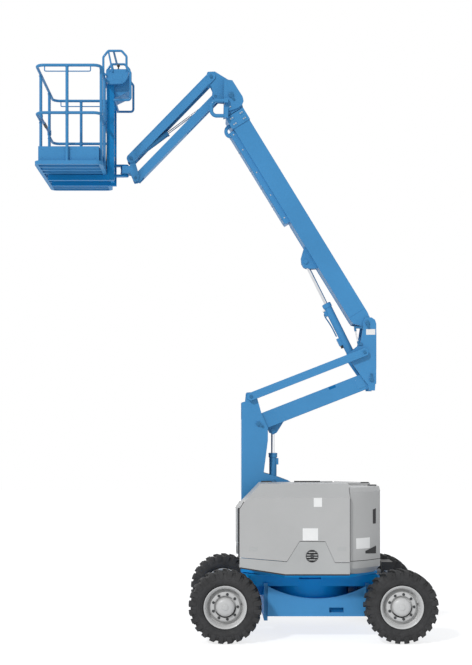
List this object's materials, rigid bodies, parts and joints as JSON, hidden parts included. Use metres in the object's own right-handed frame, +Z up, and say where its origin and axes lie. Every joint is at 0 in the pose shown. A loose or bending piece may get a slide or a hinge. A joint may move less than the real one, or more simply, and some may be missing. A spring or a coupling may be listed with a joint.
{
  "type": "articulating boom lift",
  "caption": "Self-propelled articulating boom lift: wheeled chassis, slewing turntable with riser, telescopic primary boom, jib and railed work platform.",
  "frame": {"origin": "on the ground, midway along and across the overall box", "axes": "+Z up, +X toward the counterweight end, -X toward the platform, -Y is the left side seen by the operator facing the platform"},
  "size_m": [4.3334, 1.85, 6.528],
  "materials": {
    "blue_paint": "gloss",
    "grey_cover": "satin",
    "grey_steel": "satin",
    "dark_steel": "satin",
    "rim_silver": "satin",
    "tyre_rubber": "matte",
    "cylinder_rod": "polished",
    "engine_iron": "matte",
    "black_plastic": "matte",
    "hose_rubber": "matte"
  },
  "bodies": {
    "chassis": {"chassis_frame": "blue_paint", "slew_ring": "blue_paint", "steer_axle": "blue_paint", "steer_cylinder": "dark_steel", "drive_axle": "blue_paint", "manifold_box": "black_plastic"},
    "steer_rod": {"steer_rod": "cylinder_rod"},
    "knuckle_left": {"steer_knuckle_left": "blue_paint"},
    "knuckle_right": {"steer_knuckle_right": "blue_paint"},
    "wheel_front_left": {"tyre_front_left": "tyre_rubber", "rim_front_left": "rim_silver"},
    "wheel_front_right": {"tyre_front_right": "tyre_rubber", "rim_front_right": "rim_silver"},
    "wheel_rear_left": {"tyre_rear_left": "tyre_rubber", "rim_rear_left": "rim_silver"},
    "wheel_rear_right": {"tyre_rear_right": "tyre_rubber", "rim_rear_right": "rim_silver"},
    "turntable": {"turntable_deck": "blue_paint", "riser_tower": "blue_paint", "sill_left": "grey_steel", "sill_right": "grey_steel", "counterweight": "grey_steel", "tail_cover": "grey_cover", "engine_block": "engine_iron", "fuel_tank": "black_plastic", "hydraulic_tank": "blue_paint", "ground_controls": "black_plastic"},
    "cover_left": {"cover_left": "grey_cover"},
    "cover_right": {"cover_right": "grey_cover"},
    "lower_arm": {"lower_arm": "blue_paint"},
    "tie_link": {"tie_link": "blue_paint"},
    "mid_knuckle": {"mid_knuckle": "blue_paint"},
    "riser_barrel": {"riser_barrel": "blue_paint"},
    "riser_rod": {"riser_rod": "cylinder_rod"},
    "primary_boom": {"primary_boom": "blue_paint", "cable_tray": "black_plastic"},
    "extension": {"extension_boom": "blue_paint", "hose_loop": "hose_rubber"},
    "lift_barrel": {"lift_barrel": "blue_paint"},
    "lift_rod": {"lift_rod": "cylinder_rod"},
    "bell_crank": {"bell_crank": "blue_paint"},
    "jib_upper": {"jib_upper_arm": "blue_paint"},
    "jib_lower": {"jib_lower_arm": "blue_paint"},
    "jib_barrel": {"jib_barrel": "blue_paint"},
    "jib_rod": {"jib_rod": "cylinder_rod"},
    "end_bracket": {"end_bracket": "blue_paint"},
    "platform": {"platform_mast": "blue_paint", "platform_floor": "blue_paint", "platform_rails": "blue_paint", "control_console": "blue_paint", "console_guard": "blue_paint"},
    "entry_bar": {"entry_bar": "blue_paint"}
  },
  "joints": [
    {"name": "turntable_slew", "type": "hinge", "parent": "chassis", "child": "turntable", "pos_m": [0.83375, 0, 0.7], "axis": [0, 0, 1], "range_deg": [-177.5, 177.5]},
    {"name": "steer_left", "type": "hinge", "parent": "chassis", "child": "knuckle_left", "pos_m": [-0.10625, -0.56, 0.3925], "axis": [0, 0, 1], "range_deg": [-30, 30]},
    {"name": "steer_right", "type": "hinge", "parent": "chassis", "child": "knuckle_right", "pos_m": [-0.10625, 0.56, 0.3925], "axis": [0, 0, 1], "range_deg": [-30, 30]},
    {"name": "steer_rod_slide", "type": "slide", "parent": "chassis", "child": "steer_rod", "axis": [0, 1, 0], "range_m": [-0.08, 0.08]},
    {"name": "wheel_front_left_spin", "type": "hinge", "parent": "knuckle_left", "child": "wheel_front_left", "pos_m": [-0.10625, -0.793, 0.3925], "axis": [0, 1, 0], "continuous": true},
    {"name": "wheel_front_right_spin", "type": "hinge", "parent": "knuckle_right", "child": "wheel_front_right", "pos_m": [-0.10625, 0.793, 0.3925], "axis": [0, 1, 0], "continuous": true},
    {"name": "wheel_rear_left_spin", "type": "hinge", "parent": "chassis", "child": "wheel_rear_left", "pos_m": [1.77375, -0.793, 0.3925], "axis": [0, 1, 0], "continuous": true},
    {"name": "wheel_rear_right_spin", "type": "hinge", "parent": "chassis", "child": "wheel_rear_right", "pos_m": [1.77375, 0.793, 0.3925], "axis": [0, 1, 0], "continuous": true},
    {"name": "cover_left_open", "type": "hinge", "parent": "turntable", "child": "cover_left", "pos_m": [0.44375, -0.28, 1.674], "axis": [-1, 0, 0], "range_deg": [0, 75]},
    {"name": "cover_right_open", "type": "hinge", "parent": "turntable", "child": "cover_right", "pos_m": [0.44375, 0.28, 1.574], "axis": [1, 0, 0], "range_deg": [0, 75]},
    {"name": "riser_lift", "type": "hinge", "parent": "turntable", "child": "lower_arm", "pos_m": [0.27375, 0, 2.35], "axis": [0, -1, 0], "range_deg": [-28, 48]},
    {"name": "tie_link_swing", "type": "hinge", "parent": "turntable", "child": "tie_link", "pos_m": [0.19175, 0, 2.654], "axis": [0, -1, 0], "range_deg": [-28, 48]},
    {"name": "mid_knuckle_level", "type": "hinge", "parent": "lower_arm", "child": "mid_knuckle", "pos_m": [1.54775, 0, 2.848], "axis": [0, -1, 0], "range_deg": [-48, 28]},
    {"name": "riser_cylinder_swing", "type": "hinge", "parent": "turntable", "child": "riser_barrel", "pos_m": [0.44775, 0, 1.7], "axis": [0, 1, 0], "range_deg": [-8, 8]},
    {"name": "riser_cylinder_stroke", "type": "slide", "parent": "riser_barrel", "child": "riser_rod", "axis": [0, 0, 1], "range_m": [-0.09, 0.15]},
    {"name": "primary_lift", "type": "hinge", "parent": "mid_knuckle", "child": "primary_boom", "pos_m": [1.49975, 0, 3.486], "axis": [0, 1, 0], "range_deg": [-62, 14]},
    {"name": "lift_cylinder_swing", "type": "hinge", "parent": "mid_knuckle", "child": "lift_barrel", "pos_m": [1.35875, 0, 3.097], "axis": [0, 1, 0], "range_deg": [-56, 14]},
    {"name": "lift_cylinder_stroke", "type": "slide", "parent": "lift_barrel", "child": "lift_rod", "axis": [-0.4452, 0, 0.8954], "range_m": [-0.4, 0.1]},
    {"name": "boom_extend", "type": "slide", "parent": "primary_boom", "child": "extension", "axis": [-0.5225, 0, 0.8526], "range_m": [0, 1.2]},
    {"name": "bell_crank_level", "type": "hinge", "parent": "extension", "child": "bell_crank", "pos_m": [-0.03111, 0, 6.05112], "axis": [0, 1, 0], "range_deg": [-14, 62]},
    {"name": "jib_lift", "type": "hinge", "parent": "bell_crank", "child": "jib_upper", "pos_m": [-0.25725, 0, 6.277], "axis": [0, 1, 0], "range_deg": [-18, 115]},
    {"name": "jib_link_swing", "type": "hinge", "parent": "bell_crank", "child": "jib_lower", "pos_m": [-0.20525, 0, 6.057], "axis": [0, 1, 0], "range_deg": [-18, 115]},
    {"name": "end_bracket_level", "type": "hinge", "parent": "jib_upper", "child": "end_bracket", "pos_m": [-1.161, 0, 5.35089], "axis": [0, 1, 0], "range_deg": [-115, 18]},
    {"name": "jib_cylinder_swing", "type": "hinge", "parent": "jib_upper", "child": "jib_barrel", "pos_m": [-1.161, 0, 5.35089], "axis": [0, 1, 0], "range_deg": [-8, 8]},
    {"name": "jib_cylinder_stroke", "type": "slide", "parent": "jib_barrel", "child": "jib_rod", "axis": [0.8043, 0, 0.5942], "range_m": [-0.1, 0.4]},
    {"name": "platform_rotate", "type": "hinge", "parent": "end_bracket", "child": "platform", "pos_m": [-1.22825, 0, 5.185], "axis": [0, 0, 1], "range_deg": [-90, 90]},
    {"name": "entry_bar_raise", "type": "slide", "parent": "platform", "child": "entry_bar", "axis": [0, 0, 1], "range_m": [0, 0.42]}
  ],
  "couplings": [
    {"joint": "steer_right", "follows": "steer_left", "ratio": 1},
    {"joint": "steer_rod_slide", "follows": "steer_left", "m_per_rad": 0.15},
    {"joint": "tie_link_swing", "follows": "riser_lift", "ratio": 1},
    {"joint": "mid_knuckle_level", "follows": "riser_lift", "ratio": -1},
    {"joint": "riser_cylinder_swing", "follows": "riser_lift", "ratio": 0.092},
    {"joint": "riser_cylinder_stroke", "follows": "riser_lift", "m_per_rad": 0.169},
    {"joint": "lift_cylinder_swing", "follows": "primary_lift", "ratio": 0.865},
    {"joint": "lift_cylinder_stroke", "follows": "primary_lift", "m_per_rad": 0.36},
    {"joint": "bell_crank_level", "follows": "primary_lift", "ratio": -1},
    {"joint": "jib_link_swing", "follows": "jib_lift", "ratio": 1},
    {"joint": "end_bracket_level", "follows": "jib_lift", "ratio": -1},
    {"joint": "jib_cylinder_swing", "follows": "jib_lift", "ratio": -0.05},
    {"joint": "jib_cylinder_stroke", "follows": "jib_lift", "m_per_rad": 0.182}
  ]
}
